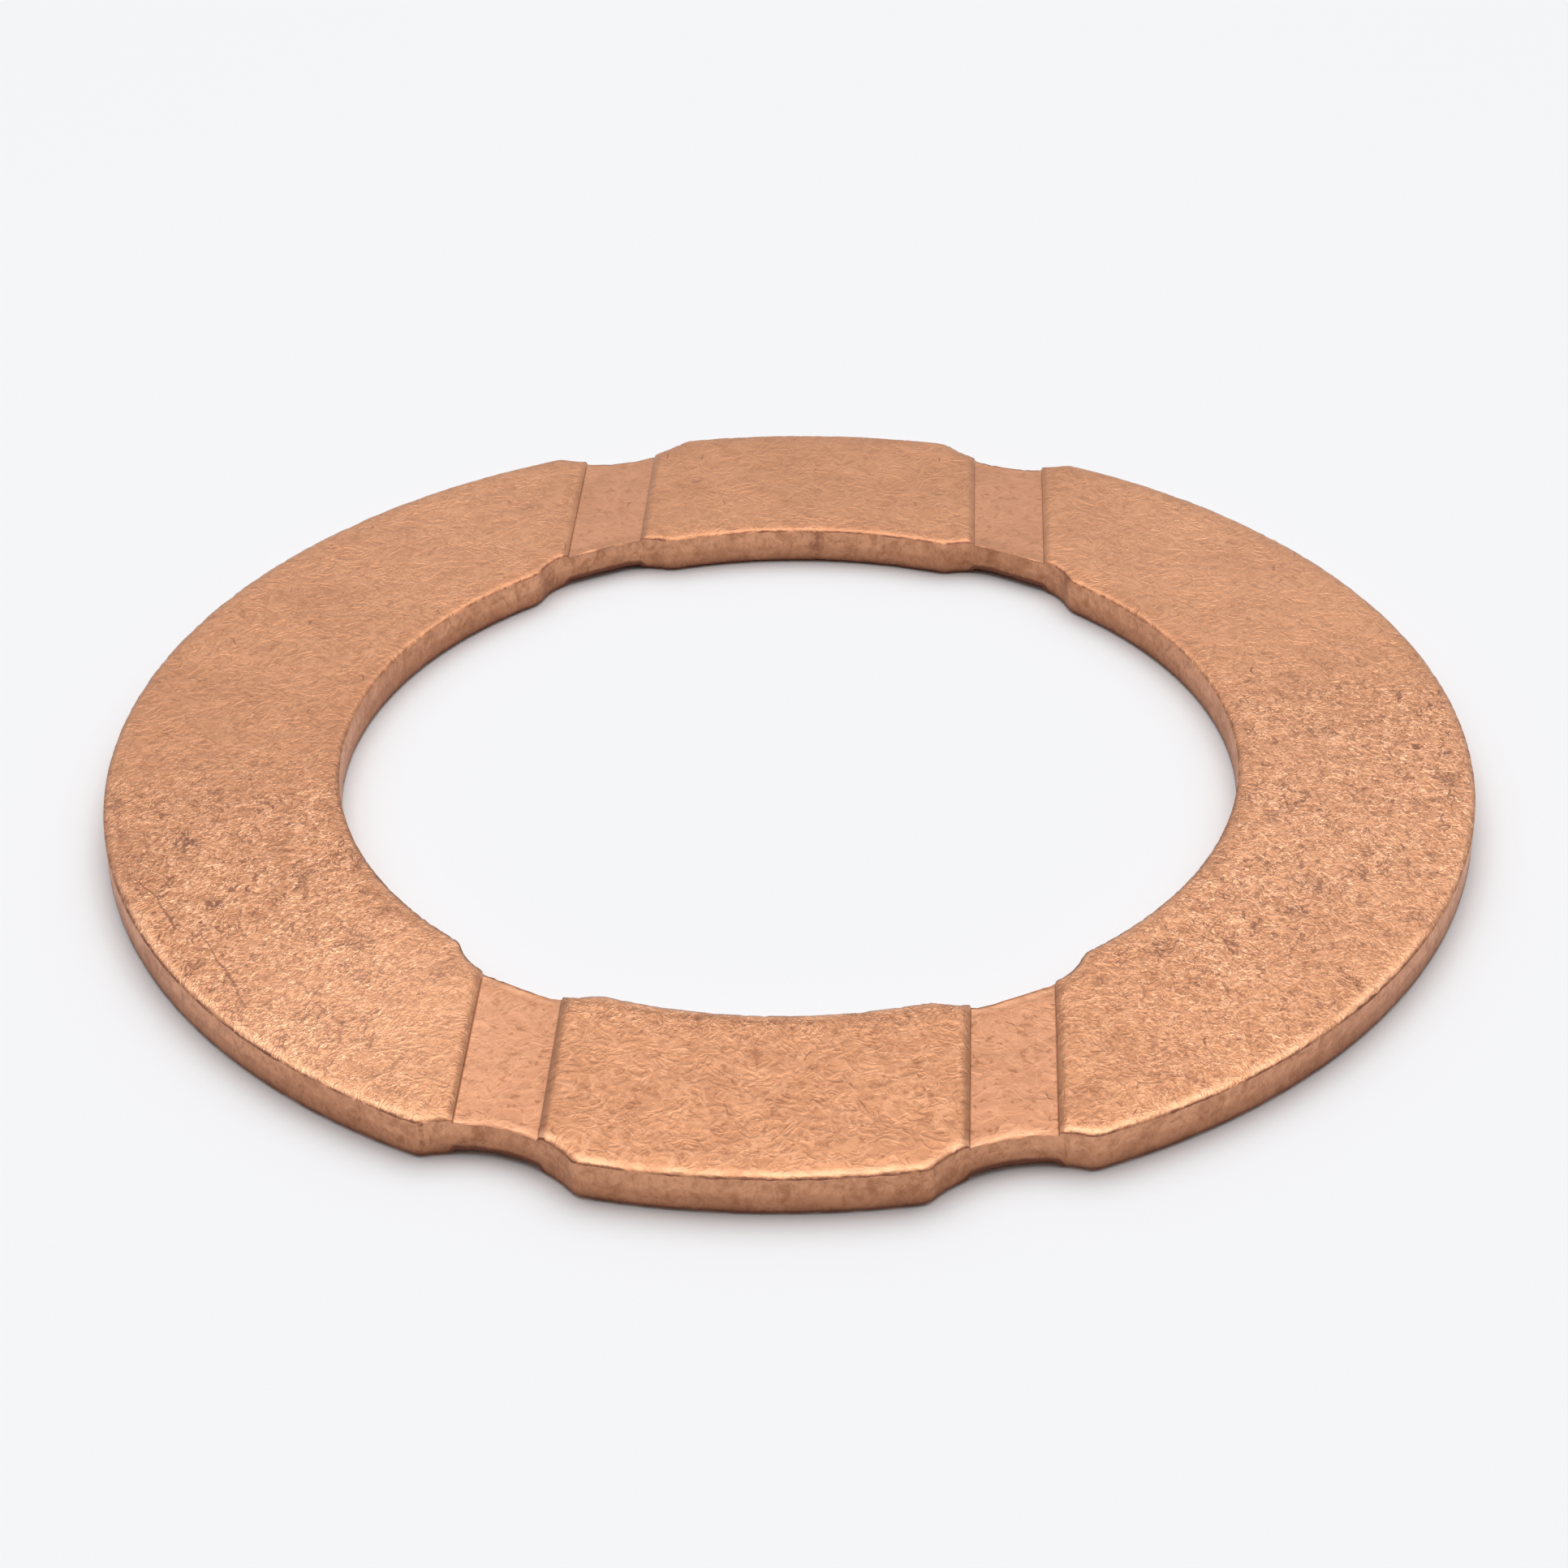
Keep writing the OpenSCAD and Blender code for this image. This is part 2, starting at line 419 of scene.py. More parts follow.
class Value:
    """What a node puts out. Sums and calls on it add nodes to the same tree."""

    def __init__(self, graph, socket):
        self.graph, self.socket = graph, socket

    def __add__(self, other):
        return self.graph.math("ADD", self, other)

    def __sub__(self, other):
        return self.graph.math("SUBTRACT", self, other)

    def __rsub__(self, other):
        return self.graph.math("SUBTRACT", other, self)

    def __mul__(self, other):
        return self.graph.math("MULTIPLY", self, other)

    def __truediv__(self, other):
        return self.graph.math("DIVIDE", self, other)

    def __abs__(self):
        return self.graph.math("ABSOLUTE", self)

    def most(self, other):
        """The larger of this number and another."""
        return self.graph.math("MAXIMUM", self, other)

    def square_root(self):
        """The square root of this number."""
        return self.graph.math("SQRT", self)

    def ramp(self, low, high, start=0.0, end=1.0):
        """Passes smoothly from start, where this number is low, to end, where it is high."""
        feeds = {0: self, 1: low, 2: high, 3: start, 4: end}
        return self.graph.value("ShaderNodeMapRange", feeds, interpolation_type="SMOOTHSTEP")

    def above(self, limit):
        """Whether this number is above a limit."""
        settings = {"data_type": "FLOAT", "operation": "GREATER_THAN"}
        return self.graph.value("FunctionNodeCompare", {0: self, 1: limit}, **settings)

    def vector(self, operation, *others, output=0):
        """A vector worked out from this one and others."""
        feeds = dict(enumerate((self, *others)))
        return self.graph.value("ShaderNodeVectorMath", feeds, output, operation=operation)

    def measured(self, operation, *others):
        """A number worked out from this vector, such as its length."""
        return self.vector(operation, *others, output="Value")

    def moved(self, way):
        """This place, moved this way."""
        return self.vector("ADD", way)

    def past(self, start):
        """The way to this place from another."""
        return self.vector("SUBTRACT", start)

    def by(self, factors):
        """This vector, with a factor for each axis."""
        return self.vector("MULTIPLY", factors)

    def scaled(self, factor):
        """This vector, with one factor for all axes."""
        feeds = {0: self, "Scale": factor}
        return self.graph.value("ShaderNodeVectorMath", feeds, operation="SCALE")

    def counted(self, size):
        """This place, counted in steps of this size."""
        return self.scaled(self.graph.math("DIVIDE", 1.0, size))

    def squeezed(self, stretch):
        """This place, for patterns that come out this many times as long along X."""
        factor = self.graph.math("DIVIDE", 1.0, stretch)
        return self.by(self.graph.value("ShaderNodeCombineXYZ", {0: factor, 1: 1.0, 2: 1.0}))

    def parts(self, kind="ShaderNodeSeparateXYZ"):
        """Its three parts."""
        return [Value(self.graph, part) for part in self.graph.add(kind, {0: self}).outputs]

    def noise(self, scale, detail=2.0, roughness=0.5, distortion=0.0, output=0):
        """A noise at this place, from 0 to 1."""
        feeds = {
            "Vector": self,
            "Scale": scale,
            "Detail": detail,
            "Roughness": roughness,
            "Distortion": distortion,
        }
        return self.graph.value("ShaderNodeTexNoise", feeds, output)

    def sway(self, scale, detail):
        """A small vector, about zero, that wanders from place to place."""
        return self.noise(scale, detail, output=1).past((0.5, 0.5, 0.5))


class Tree:
    """A node tree, with short calls that add a node and feed its inputs."""

    def __init__(self, tree):
        self.tree = tree

    def add(self, kind, feeds=None, **settings):
        """Adds a node, sets it up and feeds its inputs."""
        node = self.tree.nodes.new(kind)
        down, across = divmod(len(self.tree.nodes), NODES_ACROSS)
        node.location = (NODE_STEP[0] * across, -NODE_STEP[1] * down)
        for name, value in settings.items():
            setattr(node, name, value)
        for key, value in (feeds or {}).items():
            self.feed(node.inputs[key], value)
        return node

    def feed(self, socket, value):
        """Links a value to an input, or writes a plain number or colour into it."""
        if isinstance(value, Value):
            self.tree.links.new(value.socket, socket)
        else:
            socket.default_value = value

    def value(self, kind, feeds=None, output=0, **settings):
        """Adds a node for one of the values that it puts out."""
        return Value(self, self.add(kind, feeds, **settings).outputs[output])

    def named(self, node):
        """All that a node puts out, by name."""
        return {socket.name: Value(self, socket) for socket in node.outputs}

    def give(self, **results):
        """Feeds what a group puts out."""
        self.add("NodeGroupOutput", results)
        return self.tree

    def math(self, operation, *values, clamp=False):
        """A number worked out from others."""
        feeds = dict(enumerate(values))
        return self.value("ShaderNodeMath", feeds, operation=operation, use_clamp=clamp)

    def blend(self, share, first, second):
        """Mixes two colours."""
        return self.value("ShaderNodeMix", {0: share, 6: first, 7: second}, 2, data_type="RGBA")

    def between(self, share, first, second):
        """Mixes two numbers."""
        return self.value("ShaderNodeMix", {0: share, 2: first, 3: second})


def node_group(name, kind, inputs, outputs):
    """A new node group, whose sockets are listed by their kind, and what it is given."""
    tree = bpy.data.node_groups.new(name, kind)
    for sockets, in_out in ((inputs, "INPUT"), (outputs, "OUTPUT")):
        for socket, labels in sockets.items():
            for label in labels:
                kind = f"NodeSocket{socket}"
                tree.interface.new_socket(name=label, in_out=in_out, socket_type=kind)
    graph = Tree(tree)
    return graph, graph.named(graph.add("NodeGroupInput"))


def shader_group(name, numbers, outputs=("Mask",), vectors=("Vector",)):
    """A new shader group that takes vectors and numbers, and what it is given."""
    inputs = {"Vector": vectors, "Float": numbers}
    return node_group(name, "ShaderNodeTree", inputs, {"Float": outputs})


def socket_name(field):
    """The name of the socket that takes a setting."""
    return field.replace("_", " ").title()


def rolled_edge_tree():
    """How far a rolled edge lies below its face, at a distance from the wall it meets."""
    inputs = {"Float": ("Distance", "Radius", "Drop", "Start")}
    graph, given = node_group("Rolled edge", "GeometryNodeTree", inputs, {"Float": ("Depth",)})
    radius = given["Radius"]
    start_cos = graph.math("COSINE", given["Start"])
    wall_cos = start_cos - given["Drop"] / radius
    wall_sin = (1.0 - wall_cos * wall_cos).square_root()
    reach = wall_sin - given["Distance"].most(0.0) / radius
    reach = reach.most(graph.math("SINE", given["Start"]))
    return graph.give(Depth=(start_cos - (1.0 - reach * reach).square_root()) * radius)


# Settings that the coining tree takes as they are
ROLL_INPUTS = ("thickness", "roll_radius", "roll_drop", "face_angle")
CHANNEL_INPUTS = ("shoulder_radius", "shoulder_drop", "channel_depth", "root_radius")
SIZE_INPUTS = ROLL_INPUTS + CHANNEL_INPUTS
WEAR_INPUTS = ("ripple_depth", "ripple_size", "edge_sag", "nick_depth", "nick_spacing")
# How far from an edge its nicks reach, and between which distances a face sags
NICK_REACH = 0.35 * MM
SAG_BAND = (0.1 * MM, 1.5 * MM)
# Edges that turn by more than this stay sharp
SHARP_ANGLE = math.radians(28)


def coining_tree():
    """Presses a flat blank into the coined ring: rolls its edges, presses the channels, adds the
    ripples and the nicks, and gives each surface its material."""
    inputs = {
        "Geometry": ("Blank",),
        "Float": [socket_name(field) for field in SIZE_INPUTS + WEAR_INPUTS],
        "Int": ("Seed",),
        "Material": ("Face", "Channel", "Wall"),
    }
    graph, given = node_group("Coined ring", "GeometryNodeTree", inputs, {"Geometry": ("Ring",)})
    stored = {
        name: graph.value("GeometryNodeInputNamedAttribute", {"Name": name}, "Attribute")
        for name in ("edge_gap", "channel_gap", "pressed", "level")
    }
    place = graph.value("GeometryNodeInputPosition")
    depth = pressed_depth(graph, given, stored) + worn_depth(graph, given, stored, place)
    half = given["Thickness"] / 2.0
    height = half + stored["level"] * (half - depth)
    x, y, _ = place.parts()
    spot = graph.value("ShaderNodeCombineXYZ", {0: x, 1: y, 2: height})
    feeds = {"Geometry": given["Blank"], "Position": spot}
    geometry = graph.value("GeometryNodeSetPosition", feeds)

    steep = graph.value("GeometryNodeInputMeshEdgeAngle", output="Unsigned Angle")
    crease = steep.above(SHARP_ANGLE)
    for domain, selection, smooth in (("FACE", True, True), ("EDGE", crease, False)):
        feeds = {0: geometry, "Selection": selection, "Shade Smooth": smooth}
        geometry = graph.value("GeometryNodeSetShadeSmooth", feeds, domain=domain)
    geometry = graph.value("GeometryNodeRealizeInstances", {0: geometry})

    level, in_channel = on_faces(graph, stored["level"]), on_faces(graph, stored["pressed"])
    wall = graph.math("LESS_THAN", abs(level), FACE_LEVEL)
    # A face between the land and a channel has half its corners on each, and is a wall too
    step_wall = graph.math("COMPARE", in_channel, 0.5, 0.4)
    for material, selection in (
        ("Face", True),
        ("Channel", in_channel.above(0.9)),
        ("Wall", wall.most(step_wall).above(0.5)),
    ):
        feeds = {"Geometry": geometry, "Selection": selection, "Material": given[material]}
        geometry = graph.value("GeometryNodeSetMaterial", feeds)
    return graph.give(Ring=geometry)


def pressed_depth(graph, given, stored):
    """How deep the rolled edges, the shoulders and the channels are pressed."""
    rolled = rolled_edge_tree()

    def rolled_depth(distance, radius, drop):
        feeds = {"Distance": distance, "Radius": radius, "Drop": drop, "Start": given["Face Angle"]}
        return graph.value("GeometryNodeGroup", feeds, "Depth", node_tree=rolled)

    channel_gap, root = stored["channel_gap"], given["Root Radius"]
    roll = rolled_depth(stored["edge_gap"], given["Roll Radius"], given["Roll Drop"])
    shoulder = rolled_depth(channel_gap, given["Shoulder Radius"], given["Shoulder Drop"])
    from_root = (root + channel_gap).most(0.0)
    lift = root - (root * root - from_root * from_root).most(0.0).square_root()
    floor = given["Channel Depth"] - lift
    return graph.between(stored["pressed"], shoulder, floor).most(roll)


def worn_depth(graph, given, stored, place):
    """How deep the ripples, the nicks along an edge and the sag beside it are."""
    shift = graph.value("ShaderNodeCombineXYZ", {0: given["Seed"], 1: given["Seed"]})

    def wave(size, distortion):
        return place.counted(size).moved(shift).noise(1.0, 2.0, 0.5, distortion)

    edge_gap = stored["edge_gap"]
    ripple = wave(given["Ripple Size"], 0.4).ramp(0.3, 0.7) * given["Ripple Depth"]
    nick = wave(given["Nick Spacing"], 1.0).ramp(0.42, 0.72) * given["Nick Depth"]
    nick *= edge_gap.ramp(0.0, NICK_REACH, 1.0, 0.0)
    sag = edge_gap.ramp(*SAG_BAND, 1.0, 0.0) * given["Edge Sag"]
    return ripple + nick + sag * (1.0 - stored["pressed"])


def on_faces(graph, value):
    """A point value, averaged over each face."""
    settings = {"data_type": "FLOAT", "domain": "FACE"}
    return graph.value("GeometryNodeFieldOnDomain", {0: value}, **settings)


# Finishes of the copper alloy. Every pattern reads the object's own coordinates, in metres.


def wrinkle_group():
    """Wavy folds left by coining: their height, their crests, and the furrows between them."""
    graph, given = shader_group(
        "Coined wrinkles", ("Size", "Stretch", "Twist"), ("Height", "Crest", "Furrow")
    )
    place = given["Vector"].counted(given["Size"]).squeezed(given["Stretch"])
    place = place.moved(place.sway(0.3, 1.0).scaled(given["Twist"]))
    folds = []
    for scale, offset, width in ((1.0, 0.0, 0.13), (1.7, 31.7, 0.15)):
        wave = place.moved((offset, offset, offset)).noise(scale, 0.6, 0.5, 0.6)
        folds.append(abs(wave - 0.5).ramp(0.0, width, 1.0, 0.0))
    height = folds[0].most(folds[1] * 0.8)
    crest, furrow = height.ramp(0.72, 1.0), height.ramp(0.0, 0.4, 1.0, 0.0)
    return graph.give(Height=height, Crest=crest, Furrow=furrow)


def broken_line_group():
    """Short curved strokes: thin level lines of a noise, broken up by another noise."""
    graph, given = shader_group("Broken lines", ("Size", "Stretch", "Width", "Share"))
    place = given["Vector"].counted(given["Size"]).squeezed(given["Stretch"])
    side = abs(place.noise(1.0, 2.0, 0.45, 0.7) - 0.5) / given["Width"]
    edge = 0.68 - given["Share"] * 0.3
    gate = place.moved((17.3, 5.1, 2.9)).noise(0.9, 1.0).ramp(edge, edge + 0.07)
    return graph.give(Mask=side.ramp(0.25, 1.0, 1.0, 0.0) * gate)


def tarnish_group():
    """Brown tarnish in patches."""
    graph, given = shader_group("Tarnish", ("Patch Size", "Amount"))
    place = given["Vector"].counted(given["Patch Size"])
    broad = place.noise(0.16, 3.0, 0.5, 0.5)
    small = place.noise(1.0, 4.0, 0.62, 0.8)
    return graph.give(Mask=(small * 0.6 + broad * 0.4).ramp(0.44, 0.68) * given["Amount"])


def speck_group():
    """Dark specks that lie in loose clusters."""
    graph, given = shader_group("Dark specks", ("Size", "Cluster", "Share", "Spots"))
    dots = given["Vector"].counted(given["Size"]).noise(1.0, 2.0, 0.6, 0.5).ramp(0.56, 0.66)
    cloud = given["Vector"].counted(given["Cluster"]).noise(1.0, 3.0, 0.6, 0.3)
    edge = 0.74 - given["Share"] * 0.2
    return graph.give(Mask=dots * (cloud + given["Spots"] * 0.3).ramp(edge, edge + 0.07))


def short_scratch_group():
    """Short hairlines, one in some cells, each at its own angle."""
    graph, given = shader_group("Short scratches", ("Cell", "Length", "Width", "Share"))
    place = given["Vector"].counted(given["Cell"])
    flat = place.moved(place.sway(2.2, 2.0).scaled(0.32)).by(FLAT)
    feeds = {"Vector": flat, "Scale": 1.0}
    cells = graph.named(graph.add("ShaderNodeTexVoronoi", feeds, voronoi_dimensions="2D"))
    chance, turn, depth = cells["Color"].parts("ShaderNodeSeparateColor")
    feeds = {"Vector": flat.past(cells["Position"]), "Angle": turn * math.pi}
    x, y, _ = graph.value("ShaderNodeVectorRotate", feeds, rotation_type="Z_AXIS").parts()
    across = (abs(y) / given["Width"]).ramp(0.3, 1.0, 1.0, 0.0)
    along = (abs(x) / given["Length"]).ramp(0.4, 1.0, 1.0, 0.0)
    taken = graph.math("LESS_THAN", chance, given["Share"])
    return graph.give(Mask=across * along * (taken * depth))


def line_scratch_group():
    """One scratch from a start to an end."""
    graph, given = shader_group("Line scratch", ("Width",), vectors=("Vector", "Start", "End"))
    place, start = given["Vector"], given["Start"]
    whole = given["End"].past(start)
    dot = place.past(start).measured("DOT_PRODUCT", whole)
    share = graph.math("DIVIDE", dot, whole.measured("DOT_PRODUCT", whole), clamp=True)
    gap = place.measured("DISTANCE", start.moved(whole.scaled(share))) / given["Width"]
    return graph.give(Mask=gap.ramp(0.2, 1.0, 1.0, 0.0))


def spot_group():
    """A round spot that fades out from its centre."""
    graph, given = shader_group("Spot", ("Radius",), vectors=("Vector", "Centre"))
    gap = given["Vector"].measured("DISTANCE", given["Centre"]) / given["Radius"]
    return graph.give(Mask=gap.ramp(0.3, 1.0, 1.0, 0.0))


def grain_group():
    """The finest grain of the metal."""
    graph, given = shader_group("Fine grain", ("Size",), ("Height",))
    return graph.give(Height=given["Vector"].counted(given["Size"]).noise(1.0, 3.0, 0.6))


def rgba(value):
    """A stored colour with full opacity."""
    return (*value, 1.0)


# Scratches that stand out on the upper face: start, end and width in millimetres
FACE_SCRATCHES = (
    ((-44.8, -18.8), (-42.9, -20.9), 0.1),
    ((-42.9, -20.9), (-40.8, -24.7), 0.14),
    ((-39.1, -24.8), (-37.3, -28.1), 0.09),
    ((-37.3, -28.1), (-36.2, -29.8), 0.14),
    ((-36.2, -29.8), (-34.5, -33.4), 0.18),
    ((37.5, -21.3), (38.0, -22.5), 0.07),
)
# Where specks and cracks crowd together: place and radius in millimetres
FACE_SPOTS = (
    ((-42.1, -14.3), 1.5),
    ((-35.3, -14.6), 1.1),
    ((-33.1, -17.6), 1.5),
    ((-38.7, -21.4), 0.9),
    ((-26.8, -21.9), 1.1),
    ((-28.1, -25.7), 1.7),
    ((-22.1, -29.3), 1.8),
    ((36.8, -17.3), 1.5),
    ((39.2, -17.4), 0.9),
    ((35.8, -20.4), 1.3),
    ((44.2, -20.4), 1.7),
    ((48.0, -3.2), 1.2),
    ((34.9, -8.6), 1.2),
    ((38.9, -28.3), 1.2),
    ((26.2, -25.0), 1.5),
)
# Broad lighter and darker areas of a face: place, radius in millimetres and how much lighter
FACE_TONES = (
    ((-27.0, -35.0), 16.0, 0.2),
    ((-46.0, -4.0), 20.0, -0.16),
    ((-48.0, -18.0), 7.0, -0.3),
    ((0.0, -46.0), 34.0, -0.2),
    ((48.0, -24.0), 10.0, -0.1),
    ((38.0, -10.0), 22.0, 0.1),
    ((34.0, 28.0), 20.0, 0.1),
    ((-30.0, 32.0), 16.0, 0.06),
)
# Painted shade down the front noses' creases, then stains, running down a wall: place and radius in
# millimetres
WALL_SPOTS = (
    ((-21.2, -45.2), 0.3),
    ((21.3, -43.8), 0.3),
    ((21.2, 28.9), 0.7),
    ((-21.2, 29.4), 0.6),
    ((0.6, 32.4), 1.1),
    ((11.5, 33.2), 0.8),
)

# How fine each noise is, per metre: broad areas, slow and quick change along an edge, streaks on
# a wall, and the sway and the fading of the longer scratches
AREA_SCALE = 190.0
SLOW_SCALE = 420.0
QUICK_SCALE = 1500.0
STREAK_SCALE = 1100.0
SWAY_SCALE = 600.0
FADING_SCALE = 1400.0
SCRATCH_SWAY = (0.5 * MM, 0.5 * MM, 0.0)

# Where the folds change: towards the back, away from the Y axis, beside the bore and in the
# front corner of the right lobe
BACK_FADE = (-5 * MM, 10 * MM)
LOBE_RISE = (14 * MM, 30 * MM)
BORE_FADE = (33.5 * MM, 38 * MM)
CORNER_FADE = (36 * MM, 45 * MM)
TOWARDS_CORNER = (0.6, -0.8, 0.0)
# How the line where they fade leans, and how strong they are by area and in that corner
BACK_LEAN = -0.2
AREA_VIGOUR = (0.78, 1.05)
CORNER_VIGOUR = 0.66
# Where the dashes of painted highlight, the flecks, and the front edges' painted highlight and wear
# fade to the back
DASH_FADE = (-22 * MM, -4 * MM)
FLECK_FADE = (-22 * MM, 5 * MM)
RUB_HIGHLIGHT_FADE = (-30 * MM, -8 * MM)

# Between the bore and the rim
MIDDLE_RADIUS = 41.5 * MM
# Bands beside an edge, as distances from it
# Painted shade beside a channel
SHOULDER_BAND = (0.05 * MM, 0.75 * MM)
# Tarnish and painted shade beside the bore
BROWN_BAND = (0.3 * MM, 1.7 * MM)
# A painted highlight and rubbed wear on a rolled edge, between these two bands
RUB_HIGHLIGHT_START = (0.1 * MM, 0.25 * MM)
RUB_HIGHLIGHT_END = (0.35 * MM, 1.0 * MM)
# Painted shade and dirt in the line where the roll meets the wall, and how far that line jags
LINE_BAND = (0.06 * MM, 0.18 * MM)
LINE_SHIFT = 0.35 * MM
# The painted shade line at an edge is faintest this far in front of the X axis or behind it
FAINTEST = 6 * MM
FAINT_BAND = (6 * MM, 24 * MM)

# Bands on a wall, as heights, and how far they wander: torn zone, painted shade, painted contact
# shadow
TORN_BAND = (1.25 * MM, 1.75 * MM)
SHADE_BAND = (0.0, 1.0 * MM)
SHADE_SHIFT = 0.9 * MM
FOOT_BAND = (0.15 * MM, 0.5 * MM)
FOOT_SHIFT = 0.3 * MM
# From the axis to the middle of a channel, under which a wall ends this much higher; the painted
# foot shadow rises with it
CHANNEL_MIDDLE = 16.4 * MM
WEB_LIFT = 0.5 * MM
WEB_EDGE = (2.7 * MM, 3.4 * MM)

# How much rougher tarnish and grain make the metal, and how much smoother rubbing does
ROUGH_TARNISH = 0.12
ROUGH_GRAIN = 0.18
SMOOTH_RUB = 0.12


def new_material(name):
    """A material with one Principled BSDF, its tree and that shader."""
    material = bpy.data.materials.new(name)
    material.use_nodes = True
    graph = Tree(material.node_tree)
    shader = next(node for node in graph.tree.nodes if node.type == "BSDF_PRINCIPLED")
    return material, graph, shader


def flat_point(place):
    """A place in the plan, given in millimetres."""
    return (place[0] * MM, place[1] * MM, 0.0)


class CopperFinish:
    """A copper-alloy finish. The shared groups give wrinkles, tarnish, specks, scratches and
    grain, and the values in look set how strong each is here."""

    def __init__(self, name, groups, colours, look):
        self.material, self.graph, self.shader = new_material(name)
        self.groups, self.look = groups, look
        self.colours = {key: rgba(value) for key, value in colours.items()}
        self.place = self.graph.value("ShaderNodeTexCoord", output="Object")
        self.flat = self.place.by(FLAT)
        self.x, self.y, self.z = self.place.parts()
        self.reach = self.flat.measured("LENGTH")
        # Uneven over broad areas, slowly along an edge, and in its jags, the last about zero
        self.area = self.place.noise(AREA_SCALE)
        self.slow = self.place.noise(SLOW_SCALE, 2.0, 0.6)
        self.quick = self.place.noise(QUICK_SCALE, 3.0, 0.6) - 0.5
        self.find_vigour()
        self.add_folds()
        self.add_marks()
        self.colour_patterns()
        self.colour_edges()
        if look.foot > 0:
            self.colour_wall()
        self.feed_shader()

    def placed(self, group, **feeds):
        """All that a shared group gives here, by name."""
        feeds = {"Vector": self.place} | {socket_name(key): value for key, value in feeds.items()}
        node = self.graph.add("ShaderNodeGroup", feeds, node_tree=self.groups[group])
        return self.graph.named(node)

    def mask(self, group, **feeds):
        """The mask that a shared group gives here."""
        return self.placed(group, **feeds)["Mask"]

    def spot(self, centre, radius):
        """A round spot in the plan, given in millimetres."""
        return self.mask("spot", vector=self.flat, centre=flat_point(centre), radius=radius * MM)

    def stain(self, colour, share):
        """Blends a colour into the tint."""
        self.tint = self.graph.blend(share, self.tint, self.colours[colour])

    def find_vigour(self):
        """How strong the folds are: strong on the two lobes, softer towards the back, in the
        front middle and in the front corner of the right lobe."""
        look = self.look
        lean = self.graph.math("MULTIPLY_ADD", self.x, BACK_LEAN, self.y)
        self.back = lean.ramp(*BACK_FADE, 1.0, look.back)
        lobes = abs(self.x).ramp(*LOBE_RISE, look.middle, 1.0)
        beside = self.reach.ramp(*BORE_FADE, look.beside, 0.0)
        vigour = lobes.most(beside) * self.area.ramp(0.3, 0.7, *AREA_VIGOUR) * self.back
        corner_way = self.place.measured("DOT_PRODUCT", TOWARDS_CORNER)
        self.vigour = vigour * corner_way.ramp(*CORNER_FADE, 1.0, CORNER_VIGOUR)

    def add_folds(self):
        """The folds of the face, and the strokes, creases and dashes that break them up."""
        look, vigour = self.look, self.vigour
        self.fine = self.placed("wrinkles", size=look.wrinkle, stretch=0.65, twist=1.8)
        self.broad = self.placed("wrinkles", size=look.squiggle, stretch=0.9, twist=1.6)
        self.grain = self.placed("grain", size=look.grain)["Height"]
        settings = {"size": look.stroke, "stretch": 0.65, "width": 0.055, "share": 0.88}
        self.strokes = self.mask("broken_lines", **settings) * vigour
        settings = {"size": look.crease, "stretch": 0.65, "width": 0.065, "share": 0.74}
        self.creases = self.mask("broken_lines", vector=self.flat, **settings) * vigour
        settings = {"size": look.dash, "stretch": 0.8, "width": 0.07, "share": 0.75}
        calm = self.graph.math("SUBTRACT", 1.0, vigour, clamp=True)
        dashes = self.mask("broken_lines", **settings) * calm
        self.dashes = dashes * self.y.ramp(*DASH_FADE, 1.0, 0.12)

    def add_marks(self):
        """The dark marks: specks, cracks, hairlines and the longer scratches."""
        graph, look = self.graph, self.look
        self.spots = 0.0
        for centre, radius in look.spots:
            self.spots = graph.math("MAXIMUM", self.spots, self.spot(centre, radius))
        settings = {"size": look.speck, "cluster": look.cluster, "share": look.specks}
        marks = self.mask("specks", spots=self.spots, **settings)
        if look.cracks > 0:
            share = graph.math("MULTIPLY_ADD", self.spots, 0.4, look.cracks)
            settings = {"size": look.crack, "stretch": 0.6, "width": 0.055, "share": share}
            marks = marks.most(self.mask("broken_lines", **settings) * self.vigour)
        if look.hairs > 0:
            settings = {"cell": look.hair_cell, "length": 0.24, "width": 0.03, "share": look.hairs}
            marks = marks.most(self.mask("short_scratches", **settings))
        if look.scratches:
            marks = marks.most(self.long_scratches())
        self.marks = marks

    def long_scratches(self):
        """The longer scratches, which sway a little and fade in places."""
        swayed = self.flat.moved(self.flat.sway(SWAY_SCALE, 2.0).by(SCRATCH_SWAY))
        drawn = 0.0
        for start, end, width in self.look.scratches:
            settings = {"start": flat_point(start), "end": flat_point(end), "width": width * MM}
            scratch = self.mask("line_scratch", vector=swayed, **settings)
            drawn = self.graph.math("MAXIMUM", drawn, scratch)
        return drawn * self.flat.noise(FADING_SCALE, 1.0).ramp(0.34, 0.56, 0.75, 1.0)

    def colour_patterns(self):
        """Furrows and creases hold tarnish and painted shade, crests and strokes are rubbed bright
        and carry painted highlights, the dashes are painted highlights, marks are dark, and broad
        areas are lighter or darker than the rest."""
        look, place, vigour = self.look, self.place, self.vigour
        self.tint = self.colours[look.colour]
        self.tarnish = self.mask("tarnish", patch_size=look.patch, amount=look.tarnish)
        self.stain("tarnish", self.tarnish)
        flecks = place.noise(1 / look.fleck, 2.0, 0.6, 0.6).ramp(0.56, 0.65)
        calm = vigour.ramp(0.2, 0.7, 1.0, 0.5) * look.flecks
        self.stain("tarnish", flecks * (calm * self.y.ramp(*FLECK_FADE, 1.0, look.back_flecks)))
        self.stain("tarnish", self.area.ramp(0.35, 0.6, look.patches, 0.0))
        # Tarnish and painted shade in the furrows and creases
        furrow = self.fine["Furrow"] * vigour * look.furrow
        self.stain("tarnish", furrow.most(self.creases * look.creases))
